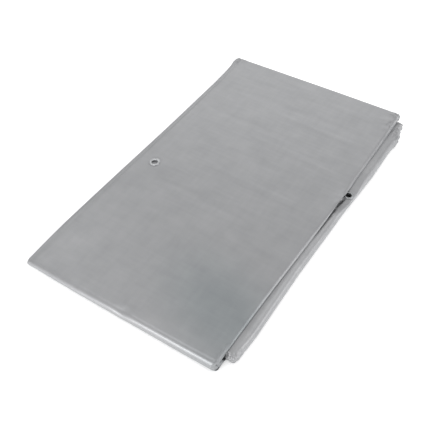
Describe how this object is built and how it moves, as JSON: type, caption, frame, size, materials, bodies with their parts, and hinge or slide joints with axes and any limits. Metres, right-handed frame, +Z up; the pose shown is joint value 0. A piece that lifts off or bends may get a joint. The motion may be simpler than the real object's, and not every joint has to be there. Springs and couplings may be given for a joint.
{
  "type": "folded tarp",
  "caption": "Silver-grey woven tarp folded back and forth into a long flat pack, with metal eyelets in its hem.",
  "frame": {"origin": "on the floor under the middle of the folded pack", "axes": "+X across the pack from its low left side to its high right side, +Y along the pack from its front fold to its back fold, +Z up"},
  "size_m": [0.4126, 0.6968, 0.0359],
  "materials": {
    "tarp_cloth": "coated woven plastic cloth with a soft sheen",
    "eyelet_metal": "satin"
  },
  "bodies": {
    "root": {"tarp_sheet": "tarp_cloth", "hem_band_top": "tarp_cloth", "hem_band_side": "tarp_cloth", "eyelet_top": "eyelet_metal", "eyelet_side": "eyelet_metal"}
  },
  "joints": []
}
